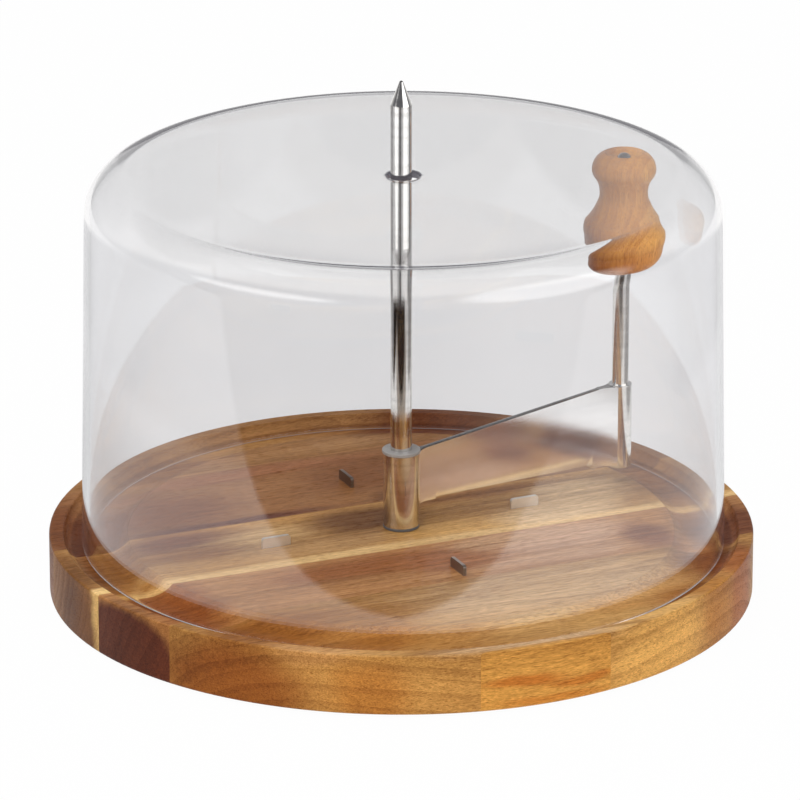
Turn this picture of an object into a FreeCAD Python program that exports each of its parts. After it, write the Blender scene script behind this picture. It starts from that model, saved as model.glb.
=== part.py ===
import FreeCAD, Part
import math
import os

from FreeCAD import Vector

# Cheese curler: a round board with a centre pin, a crank that turns on the pin, and a clear dome.
# Millimetres. The origin is under the board's centre, on the surface that the feet stand on, +Z up.

# Board, glued up from straight planks, with a cove for the dome round its edge
board_radius = 115.0
board_thickness = 20.0
board_lower_edge = 0.9
board_upper_edge = 0.7
rim_inner_radius = 110.2
plateau_radius = 89.6
cove_depth = 3.5
cove_outer_bend = 4.6
cove_inner_bend = 10.8
cove_lip = 0.4
grain_azimuth = 23.7
plank_joints = [112.8, 52.0, 18.6, -23.5, -72.0]
foot_reveal = 1.5

# Feet, let into the board's underside
foot_radius = 5.0
foot_height = 3.5
foot_edge = 0.6
foot_circle = 92.0
foot_azimuth = 20.0

# Spikes, pressed into the board round the pin
spike_circle = 44.5
spike_azimuth = 24.3
spike_length = 9.8
spike_thickness = 1.1
spike_height = 3.4
spike_root = 7.0
spike_corner = 0.9

# Centre pin, with its foot drawn down by a washer and a nut in a counterbore
pin_radius = 3.5
pin_height = 151.8
pin_cone = 7.9
pin_tip_radius = 0.7
pin_seat_depth = 8.0
stud_radius = 3.0
stud_edge = 0.5
press_gap = 0.05
counterbore_radius = 9.0
counterbore_depth = 9.0
washer_radius = 8.0
washer_thickness = 1.6
washer_gap = 0.3
washer_edge = 0.3
nut_across_flats = 10.0
nut_height = 5.0
nut_bevel_slope = 0.6
stud_proud = 1.2

# Hub: two flanged bushes meet inside a sleeve
running_gap = 0.05
end_play = 0.1
hub_height = 27.0
bush_radius = 5.0
bush_edge = 0.3
upper_flange_radius = 6.25
upper_flange_height = 1.2
lower_flange_radius = 5.95
lower_flange_height = 0.9
sleeve_radius = 5.85

# Blade, in a vertical plane through the pin
crank_azimuth = 29.8
arm_radius = 84.05
blade_thickness = 2.4
blade_base = 7.65
blade_hub_top = 25.2
blade_outer_top = 34.5
blade_level_from = 75.0
blade_edge_height = 4.5
blade_edge_thickness = 0.5
blade_top_edge = 0.7
hub_weld_bend = 6.5
socket_weld_bend = 7.4
nib_from = 72.2
nib_drop = 1.4
nib_width = 1.8
nib_return = 0.3
blade_end_drop = 0.7

# Handle: a socket at the blade's outer end, and a rod that narrows to a spindle for the knob
socket_radius = 3.98
socket_base = 6.0
socket_top = 34.9
socket_edge = 0.3
rod_radius = 2.82
rod_shoulder = 75.4
spindle_radius = 2.0
rivet_radius = 2.3
rivet_head = 1.3
rivet_shank_radius = 1.0
rivet_shank = 9.0

# Knob, turned in wood: radius and height of the points on its outline, from the base up
knob_base = (7.2, 76.4)
knob_base_bend = (11.2, 78.6)
knob_skirt = (12.7, 81.9)
knob_skirt_top = (12.9, 84.9)
knob_shoulder_bend = (13.2, 87.4)
knob_shoulder = (12.75, 89.4)
knob_flare_bend = (10.35, 92.6)
knob_flare_top = (8.55, 96.2)
knob_neck_bend = (8.1, 97.4)
knob_neck = (7.95, 99.2)
knob_waist = (8.35, 102.0)
knob_head_base = (9.6, 104.4)
knob_cheek = (10.34, 105.7)
knob_head = (10.6, 107.2)
knob_crown = (9.35, 110.75)
knob_rim = (6.4, 112.8)
knob_dish_bend = (4.9, 111.8)
knob_dish = (3.4, 111.3)

# Dome, one clear moulding with a hole for the pin; it stands a little off centre in the cove
dome_height = 120.0
dome_shoulder_radius = 90.86
dome_corner = 11.8
dome_inner_corner = 10.75
dome_draft = 1.2
dome_wall = 2.3
dome_hole_radius = 5.6
dome_hole_edge = 0.4
dome_foot_edge = 0.5
dome_shift = 0.65

board_top = foot_reveal + board_thickness
cove_floor = board_top - cove_depth


def corner_arc(centre, radius, start, end):
    """Middle and end point of an arc about a centre, from one angle to another in degrees."""
    middle = math.radians((start + end) / 2)
    last = math.radians(end)
    return tuple((centre[0] + radius * math.cos(a), centre[1] + radius * math.sin(a)) for a in (middle, last))


def wire(start, steps, place):
    """Closed wire; a step is (end,) for a line or (middle, end) for an arc."""
    edges = []
    here = start
    for step in steps + [(start,)]:
        if math.dist(here, step[-1]) < 1e-6:
            continue
        if len(step) == 1:
            edges.append(Part.LineSegment(place(here), place(step[0])).toShape())
        else:
            edges.append(Part.Arc(place(here), place(step[0]), place(step[1])).toShape())
        here = step[-1]
    return Part.Wire(edges)


def turned(start, steps):
    """Solid of revolution about Z of an outline in radius and height."""
    face = Part.Face(wire(start, steps, lambda p: Vector(p[0], 0, p[1])))
    return face.revolve(Vector(0, 0, 0), Vector(0, 0, 1), 360)


def disc(radius, base, top):
    return Part.makeCylinder(radius, top - base, Vector(0, 0, base))


def soften(solid, rings, radius):
    """Round the circular edges that have the given radii and heights."""
    edges = []
    for edge in solid.Edges:
        if not isinstance(edge.Curve, Part.Circle):
            continue
        for ring_radius, height in rings:
            same_radius = abs(edge.Curve.Radius - ring_radius) < 1e-4
            same_height = abs(edge.Curve.Center.z - height) < 1e-4
            if same_radius and same_height:
                edges.append(edge)
    return solid.makeFillet(radius, edges)


def turned_to(shape, azimuth):
    shape.rotate(Vector(0, 0, 0), Vector(0, 0, 1), azimuth)
    return shape


def at_azimuth(radius, azimuth):
    angle = math.radians(azimuth)
    return Vector(radius * math.cos(angle), radius * math.sin(angle), 0)


def rounded_edge(centre, radius, start, end):
    """An edge rounding as three short flats, for a profile that planes will cut."""
    span = (end - start) / 3
    points = [corner_arc(centre, radius, start, start + span * k)[1] for k in (1, 2, 3)]
    return [(point,) for point in points]


def board_blank():
    base = foot_reveal
    wall_depth = cove_depth - cove_lip
    floor_outer = rim_inner_radius - math.sqrt(cove_outer_bend ** 2 - (cove_outer_bend - wall_depth) ** 2)
    floor_inner = plateau_radius + math.sqrt(cove_inner_bend ** 2 - (cove_inner_bend - wall_depth) ** 2)
    outer_start = -math.degrees(math.asin((cove_outer_bend - wall_depth) / cove_outer_bend))
    inner_end = -180 + math.degrees(math.asin((cove_inner_bend - wall_depth) / cove_inner_bend))
    lower = (board_radius - board_lower_edge, base + board_lower_edge)
    upper = (board_radius - board_upper_edge, board_top - board_upper_edge)
    steps = [((lower[0], base),)]
    steps += rounded_edge(lower, board_lower_edge, -90, 0)
    steps += [((board_radius, upper[1]),)]
    steps += rounded_edge(upper, board_upper_edge, 0, 90)
    steps += [
        ((rim_inner_radius + cove_lip, board_top),),
        ((rim_inner_radius, board_top - cove_lip),),
        corner_arc((floor_outer, cove_floor + cove_outer_bend), cove_outer_bend, outer_start, -90),
        ((floor_inner, cove_floor),),
        corner_arc((floor_inner, cove_floor + cove_inner_bend), cove_inner_bend, -90, inner_end),
        ((plateau_radius - cove_lip, board_top),),
        ((0, board_top),),
    ]
    return turned((0, base), steps)


def spike(azimuth, rise):
    """Flat steel tab that stands on edge, its length along the board's radius, its top above the board."""
    low = board_top - spike_root
    tab = Part.makeBox(
        spike_length,
        spike_thickness,
        spike_root + rise,
        Vector(spike_circle - spike_length / 2, -spike_thickness / 2, low),
    )
    if rise > spike_corner:
        top = board_top + rise
        rims = [e for e in tab.Edges if e.Length < spike_thickness + 1e-6 and e.CenterOfMass.z > top - 1e-6]
        tab = tab.makeFillet(spike_corner, rims)
    return turned_to(tab, azimuth)


def foot_seat(number):
    return at_azimuth(foot_circle, foot_azimuth + 90 * number)


def planks():
    """The board cut along its glue joints, from front to back."""
    board = board_blank()
    cuts = [
        disc(pin_radius + press_gap, board_top - pin_seat_depth, board_top),
        disc(stud_radius + press_gap, foot_reveal, board_top),
        disc(counterbore_radius, foot_reveal, foot_reveal + counterbore_depth),
    ]
    pocket = foot_height - foot_reveal
    for number in range(4):
        cuts.append(spike(spike_azimuth + 90 * number, 0))
        cuts.append(Part.makeCylinder(foot_radius, pocket, foot_seat(number) + Vector(0, 0, foot_reveal)))
    board = board.cut(Part.makeCompound(cuts))
    span = 2 * board_radius + 2
    limits = [span / 2] + plank_joints + [-span / 2]
    result = []
    for front, back in zip(limits, limits[1:]):
        slab = Part.makeBox(span, front - back, board_thickness + 2, Vector(-span / 2, -front, foot_reveal - 1))
        piece = board.common(turned_to(slab, grain_azimuth))
        result.append(piece.Solids[0])
    return result


def foot(number):
    low = foot_edge
    steps = [
        ((foot_radius - foot_edge, 0),),
        corner_arc((foot_radius - foot_edge, low), foot_edge, -90, 0),
        ((foot_radius, foot_height),),
        ((0, foot_height),),
    ]
    body = turned((0, 0), steps)
    body.translate(foot_seat(number))
    return body


def centre_pin():
    seat = board_top - pin_seat_depth
    stud_end = foot_reveal + counterbore_depth - washer_thickness - nut_height - stud_proud
    tip = board_top + pin_height
    cone = tip - pin_cone
    slope = math.degrees(math.atan2(pin_radius, pin_cone))
    ball = tip - pin_tip_radius
    steps = [
        ((stud_radius - stud_edge, stud_end),),
        ((stud_radius, stud_end + stud_edge),),
        ((stud_radius, seat),),
        ((pin_radius, seat),),
        ((pin_radius, cone),),
        (corner_arc((0, ball), pin_tip_radius, slope, slope)[1],),
        corner_arc((0, ball), pin_tip_radius, slope, 90),
    ]
    return turned((0, stud_end), steps)


def pin_washer():
    top = foot_reveal + counterbore_depth
    low = top - washer_thickness
    ring = disc(washer_radius, low, top).cut(disc(stud_radius + washer_gap, low, top))
    return soften(ring, [(washer_radius, low)], washer_edge)


def pin_nut():
    top = foot_reveal + counterbore_depth - washer_thickness
    low = top - nut_height
    corner = nut_across_flats / math.sqrt(3)
    points = [at_azimuth(corner, 60 * k) + Vector(0, 0, low) for k in range(7)]
    prism = Part.Face(Part.makePolygon(points)).extrude(Vector(0, 0, nut_height))
    bevel = (corner - nut_across_flats / 2) * nut_bevel_slope
    steps = [
        ((nut_across_flats / 2, low),),
        ((corner + 0.01, low + bevel),),
        ((corner + 0.01, top),),
        ((0, top),),
    ]
    return prism.common(turned((0, low), steps)).cut(disc(stud_radius + press_gap, low, top))


def bush(flange_radius, flange_low, flange_high, sleeve_end):
    """Flanged bush on the pin; its barrel runs from the flange to the middle of the hub."""
    flange = disc(flange_radius, flange_low, flange_high)
    flange = soften(flange, [(flange_radius, flange_low), (flange_radius, flange_high)], bush_edge)
    low, high = sorted((sleeve_end, (flange_low + flange_high) / 2))
    barrel = disc(bush_radius, low, high)
    whole = flange.fuse(barrel).removeSplitter()
    return whole.cut(disc(pin_radius + running_gap, board_top, board_top + hub_height))


def hub():
    """Upper bush, lower bush and the sleeve between their flanges."""
    top = board_top + hub_height
    middle = board_top + hub_height / 2
    upper = bush(upper_flange_radius, top - upper_flange_height, top, middle)
    lower = bush(lower_flange_radius, board_top, board_top + lower_flange_height, middle)
    sleeve_low = board_top + lower_flange_height + end_play
    sleeve_high = top - upper_flange_height - end_play
    tube = disc(sleeve_radius, sleeve_low, sleeve_high)
    tube = tube.cut(disc(bush_radius + running_gap, sleeve_low, sleeve_high))
    return upper, lower, tube


def blade_plan():
    """The blade seen from above: a thin strip that flares into the sleeve and into the socket."""
    half = blade_thickness / 2

    def flare(tube_radius, bend):
        reach = math.sqrt((tube_radius + bend) ** 2 - (half + bend) ** 2)
        lean = math.degrees(math.asin((half + bend) / (tube_radius + bend)))
        return reach, lean

    hub_reach, hub_lean = flare(sleeve_radius, hub_weld_bend)
    end_reach, end_lean = flare(socket_radius, socket_weld_bend)
    hub_centre = (hub_reach, half + hub_weld_bend)
    end_centre = (arm_radius - end_reach, half + socket_weld_bend)

    def mirrored(points):
        return tuple((x, -y) for x, y in points)

    into_hub = corner_arc((0, 0), sleeve_radius, 0, hub_lean)
    start = into_hub[1]
    from_hub = corner_arc(hub_centre, hub_weld_bend, 180 + hub_lean, 270)
    into_end = corner_arc(end_centre, socket_weld_bend, 270, 360 - end_lean)
    round_end = corner_arc((arm_radius, 0), socket_radius, 180 - end_lean, 180 + end_lean)
    back_from_end = ((into_end[0][0], -into_end[0][1]), (end_centre[0], -half))
    back_to_hub = mirrored((from_hub[0], start))
    round_hub = corner_arc((0, 0), sleeve_radius, -hub_lean, hub_lean)
    steps = [
        from_hub,
        ((end_centre[0], half),),
        into_end,
        round_end,
        back_from_end,
        ((hub_reach, -half),),
        back_to_hub,
        round_hub,
    ]
    return wire(start, steps, lambda p: Vector(p[0], p[1], 0))


def blade_side():
    """The blade seen from the side, with a nib at the outer end of its scraping edge."""
    far = arm_radius + socket_radius
    base = board_top + blade_base
    rise = (blade_outer_top - blade_hub_top) / blade_level_from
    points = [
        (0, base),
        (nib_from, base),
        (nib_from + nib_width / 2, base - nib_drop),
        (nib_from + nib_width, base - nib_return),
        (arm_radius - socket_radius, base - blade_end_drop),
        (far, base - blade_end_drop),
        (far, board_top + blade_outer_top),
        (blade_level_from, board_top + blade_outer_top),
        (0, board_top + blade_outer_top - rise * blade_level_from),
    ]
    steps = [(p,) for p in points[1:]]
    return wire(points[0], steps, lambda p: Vector(p[0], -board_radius / 4, p[1]))


def blade():
    strip = Part.Face(blade_plan()).extrude(Vector(0, 0, board_top + blade_outer_top))
    window = Part.Face(blade_side()).extrude(Vector(0, board_radius / 2, 0))
    sheet = strip.common(window)
    half = blade_thickness / 2
    base = board_top + blade_base - nib_drop
    high = board_top + blade_base + blade_edge_height
    wedge = [
        (-half - 0.01, base),
        (half - blade_edge_thickness, base),
        (half - blade_edge_thickness, board_top + blade_base),
        (-half - 0.01, high),
    ]
    steps = [(p,) for p in wedge[1:]]
    start_x = sleeve_radius + hub_weld_bend
    bevel = Part.Face(wire(wedge[0], steps, lambda p: Vector(start_x, p[0], p[1])))
    sheet = sheet.cut(bevel.extrude(Vector(arm_radius - socket_radius - socket_weld_bend - start_x, 0, 0)))
    upper_half = board_top + blade_hub_top / 2
    long_tops = [e for e in sheet.Edges if e.Length > arm_radius / 2 and e.CenterOfMass.z > upper_half]
    sheet = sheet.makeFillet(blade_top_edge, long_tops)
    flange_low = board_top + hub_height - upper_flange_height
    room = disc(upper_flange_radius + end_play, flange_low - end_play, board_top + hub_height)
    return turned_to(sheet.cut(room), crank_azimuth)


def handle_socket():
    low = board_top + socket_base
    high = board_top + socket_top
    tube = disc(socket_radius, low, high)
    tube = soften(tube, [(socket_radius, high), (socket_radius, low)], socket_edge)
    return out_on_arm(tube.cut(disc(rod_radius + press_gap, low, high)))


def out_on_arm(shape):
    shape.translate(at_azimuth(arm_radius, crank_azimuth))
    return shape


def handle_rod():
    low = board_top + socket_base
    shoulder = board_top + rod_shoulder
    end = board_top + knob_dish[1] + end_play
    steps = [
        ((rod_radius, low),),
        ((rod_radius, shoulder),),
        ((spindle_radius, shoulder),),
        ((spindle_radius, end),),
        ((0, end),),
    ]
    rod = turned((0, low), steps)
    return out_on_arm(rod.cut(disc(rivet_shank_radius + press_gap, end - rivet_shank, end)))


def knob_rivet():
    seat = board_top + knob_dish[1] + end_play
    shank_end = seat - rivet_shank + press_gap
    crown = (rivet_radius ** 2 + rivet_head ** 2) / (2 * rivet_head)
    centre = (0, seat + rivet_head - crown)
    spread = math.degrees(math.asin(rivet_radius / crown))
    steps = [
        ((rivet_shank_radius, shank_end),),
        ((rivet_shank_radius, seat),),
        ((rivet_radius, seat),),
        corner_arc(centre, crown, 90 - spread, 90),
    ]
    return out_on_arm(turned((0, shank_end), steps))


def knob():
    bore = spindle_radius + running_gap
    steps = [
        (knob_base,),
        (knob_base_bend, knob_skirt),
        (knob_skirt_top,),
        (knob_shoulder_bend, knob_shoulder),
        (knob_flare_bend, knob_flare_top),
        (knob_neck_bend, knob_neck),
        (knob_waist, knob_head_base),
        (knob_cheek, knob_head),
        (knob_crown, knob_rim),
        (knob_dish_bend, knob_dish),
        ((bore, knob_dish[1]),),
    ]
    body = turned((bore, knob_base[1]), steps)
    body.translate(Vector(0, 0, board_top))
    return out_on_arm(body)


def dome():
    top = board_top + dome_height
    slant = math.radians(dome_draft)
    outer_centre = (dome_shoulder_radius, top - dome_corner)
    outer_tangent = corner_arc(outer_centre, dome_corner, dome_draft, dome_draft)[1]
    inner_height = top - dome_wall - dome_inner_corner
    inward = dome_wall + dome_inner_corner + (inner_height - outer_tangent[1]) * math.sin(slant)
    inner_centre = (outer_tangent[0] - inward / math.cos(slant), inner_height)
    inner_tangent = corner_arc(inner_centre, dome_inner_corner, dome_draft, dome_draft)[1]

    def foot_below(tangent):
        return (tangent[0] + (tangent[1] - cove_floor) * math.tan(slant), cove_floor)

    outer_foot = foot_below(outer_tangent)
    inner_foot = foot_below(inner_tangent)
    steps = [
        (outer_foot,),
        (outer_tangent,),
        corner_arc(outer_centre, dome_corner, dome_draft, 90),
        ((dome_hole_radius, top),),
        ((dome_hole_radius, top - dome_wall),),
        ((inner_centre[0], top - dome_wall),),
        corner_arc(inner_centre, dome_inner_corner, 90, dome_draft),
    ]
    shell = turned(inner_foot, steps)
    shell = soften(shell, [(dome_hole_radius, top), (dome_hole_radius, top - dome_wall)], dome_hole_edge)
    shell = soften(shell, [(outer_foot[0], cove_floor), (inner_foot[0], cove_floor)], dome_foot_edge)
    shell.translate(Vector(dome_shift, 0, 0))
    return shell


def pieces():
    """Every node's name and solid."""
    result = {}
    for number, plank in enumerate(planks(), 1):
        result[f"plank_{number}"] = plank
    for number in range(4):
        result[f"foot_{number + 1}"] = foot(number)
        result[f"spike_{number + 1}"] = spike(spike_azimuth + 90 * number, spike_height)
    result["centre_pin"] = centre_pin()
    result["pin_washer"] = pin_washer()
    result["pin_nut"] = pin_nut()
    result["hub_bush_upper"], result["hub_bush_lower"], result["hub_sleeve"] = hub()
    result["blade"] = blade()
    result["handle_socket"] = handle_socket()
    result["handle_rod"] = handle_rod()
    result["knob_rivet"] = knob_rivet()
    result["knob"] = knob()
    result["dome"] = dome()
    return result


os.makedirs("parts", exist_ok=True)
for name, shape in pieces().items():
    solid = shape.Solids[0] if shape.Solids else shape
    solid.exportStep(f"parts/{name}.step")
    print(name, len(shape.Solids), solid.isValid(), round(solid.Volume, 1))
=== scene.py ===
import math

import bmesh
import bpy
from mathutils import Matrix, Vector


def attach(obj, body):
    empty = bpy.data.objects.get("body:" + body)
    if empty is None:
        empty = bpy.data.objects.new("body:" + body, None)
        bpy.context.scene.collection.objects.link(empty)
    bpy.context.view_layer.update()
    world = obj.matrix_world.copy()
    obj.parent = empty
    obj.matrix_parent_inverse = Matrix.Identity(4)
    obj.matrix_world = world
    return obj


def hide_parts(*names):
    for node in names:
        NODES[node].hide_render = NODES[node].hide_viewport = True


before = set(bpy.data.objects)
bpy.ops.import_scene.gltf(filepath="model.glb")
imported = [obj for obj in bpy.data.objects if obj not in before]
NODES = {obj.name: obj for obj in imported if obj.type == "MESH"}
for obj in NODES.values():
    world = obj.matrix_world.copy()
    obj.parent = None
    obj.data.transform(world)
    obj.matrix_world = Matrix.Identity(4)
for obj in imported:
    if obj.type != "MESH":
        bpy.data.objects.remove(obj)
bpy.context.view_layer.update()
scene = bpy.context.scene

# Sizes are in millimetres and heights count from the floor, 1.5 below the board's underside.
# Azimuths are in degrees, anticlockwise from the right of the photograph's view.
MM = 0.001
GRAIN_AZIMUTH = 23.7
CRANK_AZIMUTH = 29.8
ARM_RADIUS = 84.05
BOARD_TOP = 21.5
COVE_FLOOR = 18.0

WHITE = (1.0, 1.0, 1.0, 1.0)
BLACK = (0.0, 0.0, 0.0, 1.0)


# Helpers for meshes and shader nodes.

def paint(red, green, blue):
    """A colour as it looks in a picture, 0 to 255, as the linear colour that a shader reads."""
    def linear(level):
        level = level / 255
        return level / 12.92 if level <= 0.04045 else ((level + 0.055) / 1.055) ** 2.4
    return (linear(red), linear(green), linear(blue), 1.0)


def add(tree, kind, inputs=None, **settings):
    """Adds a shader node, sets it up and links or fills the named inputs."""
    made = tree.nodes.new(kind)
    for name, value in settings.items():
        setattr(made, name, value)
    for name, value in (inputs or {}).items():
        if isinstance(value, bpy.types.NodeSocket):
            tree.links.new(value, made.inputs[name])
        else:
            made.inputs[name].default_value = value
    return made


def sums(tree, operation, first, second=0.0):
    return add(tree, "ShaderNodeMath", {0: first, 1: second}, operation=operation).outputs[0]


def vectors(tree, operation, first, second=None, scale=None):
    inputs = {0: first}
    if second is not None:
        inputs[1] = second
    if scale is not None:
        inputs["Scale"] = scale
    made = add(tree, "ShaderNodeVectorMath", inputs, operation=operation)
    return made.outputs["Value"] if operation in ("LENGTH", "DOT_PRODUCT") else made.outputs["Vector"]


def spread(tree, value, low, high, to_low=0.0, to_high=1.0, smooth=False):
    """A value's range from low to high, moved onto another range."""
    made = add(tree, "ShaderNodeMapRange", {
        "Value": value, "From Min": low, "From Max": high, "To Min": to_low, "To Max": to_high})
    if smooth:
        made.interpolation_type = "SMOOTHSTEP"
    return made.outputs["Result"]


def between(tree, value, starts, ends):
    """1 where a value lies between two soft limits, each given as the range in which it fades."""
    begun = spread(tree, value, *starts, smooth=True)
    not_ended = spread(tree, value, *ends, 1.0, 0.0, smooth=True)
    return sums(tree, "MULTIPLY", begun, not_ended)


def mixed(tree, first, second, share):
    """Two values in one: the first by its share, the second by the rest."""
    rest = 1.0 - share
    return sums(tree, "ADD", sums(tree, "MULTIPLY", first, share), sums(tree, "MULTIPLY", second, rest))


def noise(tree, place, scale, detail, roughness, seed, stretch=None):
    if stretch is not None:
        place = vectors(tree, "MULTIPLY", place, stretch)
    return add(tree, "ShaderNodeTexNoise", {
        "Vector": place, "W": seed, "Scale": scale, "Detail": detail, "Roughness": roughness},
        noise_dimensions="4D").outputs[0]


def drifted(tree, place, squeeze, scale, detail, seed, reach):
    """A place moved about by a slow noise, by up to half the reach each way."""
    squeezed = vectors(tree, "MULTIPLY", place, squeeze)
    drift = add(tree, "ShaderNodeTexNoise", {
        "Vector": squeezed, "W": seed, "Scale": scale, "Detail": detail}, noise_dimensions="4D").outputs[1]
    drift = vectors(tree, "SUBTRACT", drift, (0.5, 0.5, 0.5))
    return vectors(tree, "ADD", place, vectors(tree, "SCALE", drift, scale=reach))


def blend(tree, factor, first, second, mode="MIX"):
    """The first colour, turned into the second as far as the factor says."""
    return add(tree, "ShaderNodeMix", {0: factor, 6: first, 7: second},
               data_type="RGBA", blend_type=mode).outputs[2]


def tint(tree, colour, by, mask=1.0):
    """A colour multiplied by another as far as the mask says."""
    return blend(tree, mask, colour, by, "MULTIPLY")


def ramp(tree, value, stops):
    made = add(tree, "ShaderNodeValToRGB", {0: value})
    elements = made.color_ramp.elements
    while len(elements) < len(stops):
        elements.new(0.5)
    for element, (position, colour) in zip(elements, stops):
        element.position = position
        element.color = colour
    return made.outputs[0]


def new_group(name, inputs, outputs):
    """An empty shader node group with these sockets, given as (name, kind) pairs."""
    tree = bpy.data.node_groups.new(name, "ShaderNodeTree")
    for label, kind in inputs:
        tree.interface.new_socket(name=label, in_out="INPUT", socket_type=kind)
    for label, kind in outputs:
        tree.interface.new_socket(name=label, in_out="OUTPUT", socket_type=kind)
    given = tree.nodes.new("NodeGroupInput").outputs
    result = tree.nodes.new("NodeGroupOutput").inputs
    return tree, given, result


def use(tree, group, inputs):
    """Places a node group with its own values."""
    return add(tree, "ShaderNodeGroup", inputs, node_tree=group).outputs


def new_material(name):
    made = bpy.data.materials.new(name)
    made.use_nodes = True
    tree = made.node_tree
    shader = tree.nodes["Principled BSDF"]
    return made, tree, shader


def bump(tree, height, distance, strength=1.0):
    """A normal from a height in the range 0 to 1, whose full step is so many millimetres."""
    return add(tree, "ShaderNodeBump", {
        "Height": height, "Distance": distance * MM, "Strength": strength}).outputs[0]


def own_place(tree, turn=0.0, centre=(0.0, 0.0, 0.0), flip=False):
    """Object coordinates in millimetres, turned by an azimuth and measured from a centre."""
    coordinates = add(tree, "ShaderNodeTexCoord").outputs["Object"]
    return add(tree, "ShaderNodeMapping", {
        "Vector": coordinates,
        "Location": tuple(part * MM for part in centre),
        "Rotation": (0.0, 0.0, math.radians(turn)),
        "Scale": (MM, -MM if flip else MM, MM)}, vector_type="TEXTURE").outputs[0]


def wear(node_name, material):
    """Gives a CAD node its material."""
    mesh = NODES[node_name].data
    mesh.materials.clear()
    mesh.materials.append(material)


def finished(name, mesh, material, body=None, sharp=30.0):
    """Turns a bmesh into an object at the origin that rides on a body, or into part of the studio."""
    data = bpy.data.meshes.new(name)
    mesh.to_mesh(data)
    mesh.free()
    data.shade_smooth()
    data.set_sharp_from_angle(angle=math.radians(sharp))
    data.materials.append(material)
    made = bpy.data.objects.new(name, data)
    scene.collection.objects.link(made)
    if body is None:
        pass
    else:
        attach(made, body)
    return made


# Wood: one shared group for the grain, one for patches: stains, knots, strips of sapwood, and painted
# shade, shadow, sheen and highlight.

def wood_grain_group():
    """Grain of one plank, from its place along, across and up in millimetres.

    Heart is where the tree's centre lay, across and up. Band is the broad change of colour from one
    year to the next, Ring the fine rings, Fibre the long threads and Pore the short dark dashes."""
    tree, given, result = new_group(
        "wood grain",
        [("Place", "NodeSocketVector"), ("Heart", "NodeSocketVector"), ("Ring Width", "NodeSocketFloat"),
         ("Wander", "NodeSocketFloat"), ("Seed", "NodeSocketFloat")],
        [("Band", "NodeSocketFloat"), ("Ring", "NodeSocketFloat"), ("Fibre", "NodeSocketFloat"),
         ("Pore", "NodeSocketFloat")])
    place, seed = given["Place"], given["Seed"]
    wandered = drifted(tree, place, squeeze=(0.25, 1.0, 1.0), scale=0.03, detail=2.0, seed=seed,
                       reach=given["Wander"])
    section = vectors(tree, "MULTIPLY", wandered, (0.0, 1.0, 1.0))
    distance = vectors(tree, "LENGTH", vectors(tree, "SUBTRACT", section, given["Heart"]))
    years = sums(tree, "DIVIDE", distance, given["Ring Width"])
    uneven = add(tree, "ShaderNodeTexNoise", {
        "W": years, "Scale": 0.37, "Detail": 3.0, "Roughness": 0.6}, noise_dimensions="1D").outputs[0]
    uneven_years = sums(tree, "ADD", years, sums(tree, "MULTIPLY", uneven, 2.4))
    ring = sums(tree, "POWER", sums(tree, "FRACT", uneven_years), 2.2)
    band = add(tree, "ShaderNodeTexNoise", {
        "W": sums(tree, "ADD", sums(tree, "MULTIPLY", years, 0.21), seed), "Scale": 1.0, "Detail": 2.0,
        "Roughness": 0.55}, noise_dimensions="1D").outputs[0]
    cloud = noise(tree, place, scale=0.05, detail=3.0, roughness=0.55, seed=seed, stretch=(0.22, 1.0, 1.0))
    fibre = noise(tree, place, scale=1.0, detail=4.0, roughness=0.62, seed=seed, stretch=(0.035, 0.9, 0.9))
    thread = noise(tree, place, scale=1.0, detail=2.0, roughness=0.6, seed=seed, stretch=(0.10, 2.4, 2.4))
    pore = noise(tree, place, scale=1.0, detail=2.0, roughness=0.5, seed=seed, stretch=(0.22, 2.6, 2.6))
    tree.links.new(mixed(tree, band, cloud, 0.55), result["Band"])
    tree.links.new(ring, result["Ring"])
    tree.links.new(mixed(tree, fibre, thread, 0.6), result["Fibre"])
    tree.links.new(spread(tree, pore, 0.57, 0.66, smooth=True), result["Pore"])
    return tree


def patch_group():
    """A soft patch with an uneven edge: 1 inside its ellipsoid, 0 outside."""
    tree, given, result = new_group(
        "wood patch",
        [("Place", "NodeSocketVector"), ("Centre", "NodeSocketVector"), ("Size", "NodeSocketVector"),
         ("Softness", "NodeSocketFloat"), ("Wobble", "NodeSocketFloat"), ("Seed", "NodeSocketFloat")],
        [("Mask", "NodeSocketFloat")])
    wobbled = drifted(tree, given["Place"], squeeze=(0.3, 1.0, 1.0), scale=0.12, detail=3.0,
                      seed=given["Seed"], reach=given["Wobble"])
    away = vectors(tree, "SUBTRACT", wobbled, given["Centre"])
    away = vectors(tree, "LENGTH", vectors(tree, "DIVIDE", away, given["Size"]))
    outer = sums(tree, "ADD", 1.0, given["Softness"])
    inner = sums(tree, "SUBTRACT", 1.0, given["Softness"])
    tree.links.new(spread(tree, away, inner, outer, 1.0, 0.0, smooth=True), result["Mask"])
    return tree


WOOD_GRAIN = wood_grain_group()
WOOD_PATCH = patch_group()


# Ranges of radius in which the cove and the painted shade on its outer wall fade in and out on the planks.
COVE_STARTS = (89.5, 92.0)
COVE_ENDS = (105.0, 107.0)
COVE_WALL_STARTS = (101.0, 104.5)
COVE_WALL_ENDS = (107.5, 108.5)

# What a plank's own colour is multiplied by, place by place.
STREAKS = [(0.36, (0.56, 0.48, 0.40, 1.0)), (0.50, WHITE), (0.64, (1.32, 1.38, 1.46, 1.0))]
SPECKLE = [(0.34, (0.86, 0.82, 0.76, 1.0)), (0.66, (1.30, 1.33, 1.38, 1.0))]
RING_OR_PORE = (0.50, 0.38, 0.30, 1.0)
BOARD_SIDE = (0.92, 0.84, 0.66, 1.0)
COVE_WOOD = (0.94, 0.86, 0.72, 1.0)
# Painted shade on the cove's outer wall.
COVE_WALL_PAINTED_SHADE = (0.62, 0.52, 0.44, 1.0)


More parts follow.
